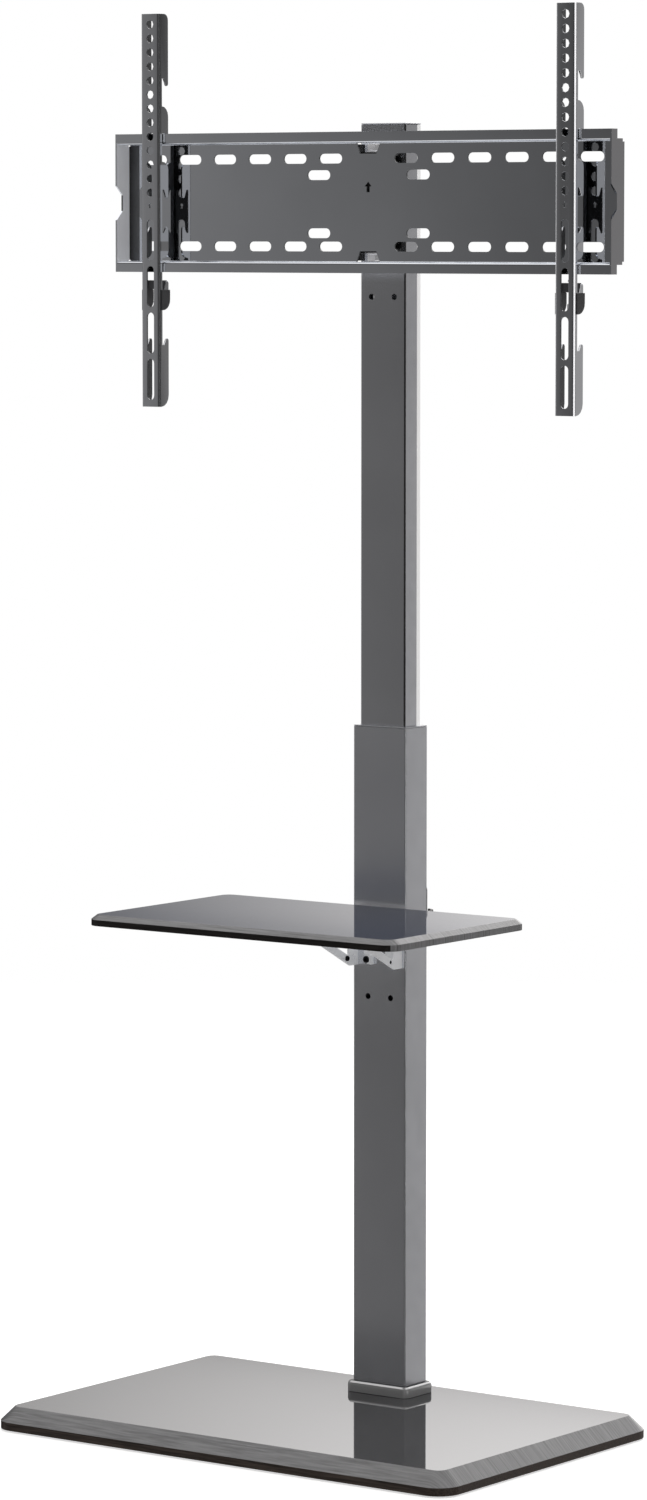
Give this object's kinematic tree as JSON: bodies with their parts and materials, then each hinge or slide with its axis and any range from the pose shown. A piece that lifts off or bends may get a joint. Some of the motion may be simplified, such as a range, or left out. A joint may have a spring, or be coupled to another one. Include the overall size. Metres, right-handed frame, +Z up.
{
  "type": "tv floor stand",
  "caption": "Floor stand for a flat screen: bevelled base, telescoping column, small shelf, and a swivelling slotted plate with two hook-on arms.",
  "frame": {"origin": "on the floor under the middle of the base board, at the bottom centre of the overall box", "axes": "+Z up; the screen side faces -Y; +X is to the right of someone who faces the screen"},
  "size_m": [0.6864, 0.41, 1.6065],
  "materials": {
    "base_veneer": "glossy grey laminate with fine grain",
    "shelf_veneer": "glossy blue-grey laminate",
    "column_steel": "satin dark grey paint",
    "mount_steel": "satin dark grey paint",
    "collar_plastic": "glossy near-black",
    "black_plastic": "matt black",
    "grey_plastic": "dark grey, as the column",
    "black_rubber": "matt black",
    "nylon": "natural nylon",
    "bright_steel": "bright plated",
    "zinc_steel": "zinc plated",
    "black_steel": "black oxide"
  },
  "bodies": {
    "column": {"base_board": "base_veneer", "base_under_plate": "zinc_steel", "tube_end_plate": "zinc_steel", "base_bolt_1": "zinc_steel", "base_bolt_2": "zinc_steel", "base_bolt_3": "zinc_steel", "base_bolt_4": "zinc_steel", "rubber_foot_front_left": "black_rubber", "rubber_foot_front_right": "black_rubber", "rubber_foot_back_left": "black_rubber", "rubber_foot_back_right": "black_rubber", "column_collar": "collar_plastic", "outer_tube": "column_steel", "guide_bush_top": "black_plastic", "height_lock_bolt_upper": "black_steel", "height_lock_nut_upper": "zinc_steel", "height_lock_pad_upper": "nylon", "height_lock_bolt_lower": "black_steel", "height_lock_nut_lower": "zinc_steel", "height_lock_pad_lower": "nylon", "cable_clip": "black_plastic", "cable_clip_screw": "black_steel", "shelf_board": "shelf_veneer", "shelf_bracket_left": "bright_steel", "shelf_bracket_right": "bright_steel", "bracket_side_screw_left": "black_steel", "bracket_side_screw_right": "black_steel", "bracket_screw_left_lower": "black_steel", "bracket_screw_left_upper": "black_steel", "bracket_screw_right_lower": "black_steel", "bracket_screw_right_upper": "black_steel", "shelf_screw_left_1": "black_steel", "shelf_screw_left_2": "black_steel", "shelf_screw_right_1": "black_steel", "shelf_screw_right_2": "black_steel"},
    "mast": {"inner_tube": "column_steel", "guide_bush_bottom": "black_plastic", "tube_cap": "grey_plastic", "column_pivot_bracket": "mount_steel", "mount_screw_1": "zinc_steel", "mount_screw_2": "zinc_steel", "mount_screw_3": "zinc_steel", "mount_screw_4": "zinc_steel", "pivot_bolt_top": "bright_steel", "pivot_washer_top": "bright_steel", "pivot_glide_top": "nylon", "pivot_nut_top": "bright_steel", "pivot_bolt_bottom": "bright_steel", "pivot_washer_bottom": "bright_steel", "pivot_glide_bottom": "nylon", "pivot_nut_bottom": "bright_steel"},
    "swivel_head": {"swivel_bracket": "mount_steel", "wall_plate": "mount_steel"},
    "left_arm": {"arm_left": "mount_steel", "lock_saddle_left": "black_plastic"},
    "right_arm": {"arm_right": "mount_steel", "lock_saddle_right": "black_plastic"},
    "left_safety_screw": {"safety_screw_left": "bright_steel"},
    "right_safety_screw": {"safety_screw_right": "bright_steel"}
  },
  "joints": [
    {"name": "mast_height", "type": "slide", "parent": "column", "child": "mast", "axis": [0, 0, 1], "range_m": [-0.25, 0]},
    {"name": "screen_swivel", "type": "hinge", "parent": "mast", "child": "swivel_head", "pos_m": [0, 0.104, 1.3905], "axis": [0, 0, 1], "range_deg": [-35, 35]},
    {"name": "left_arm_slide", "type": "slide", "parent": "swivel_head", "child": "left_arm", "axis": [1, 0, 0], "range_m": [-0.038, 0.187]},
    {"name": "right_arm_slide", "type": "slide", "parent": "swivel_head", "child": "right_arm", "axis": [1, 0, 0], "range_m": [-0.187, 0.038]},
    {"name": "left_safety_screw_travel", "type": "slide", "parent": "left_arm", "child": "left_safety_screw", "axis": [0, 0, 1], "range_m": [0, 0.012]},
    {"name": "right_safety_screw_travel", "type": "slide", "parent": "right_arm", "child": "right_safety_screw", "axis": [0, 0, 1], "range_m": [0, 0.012]}
  ]
}
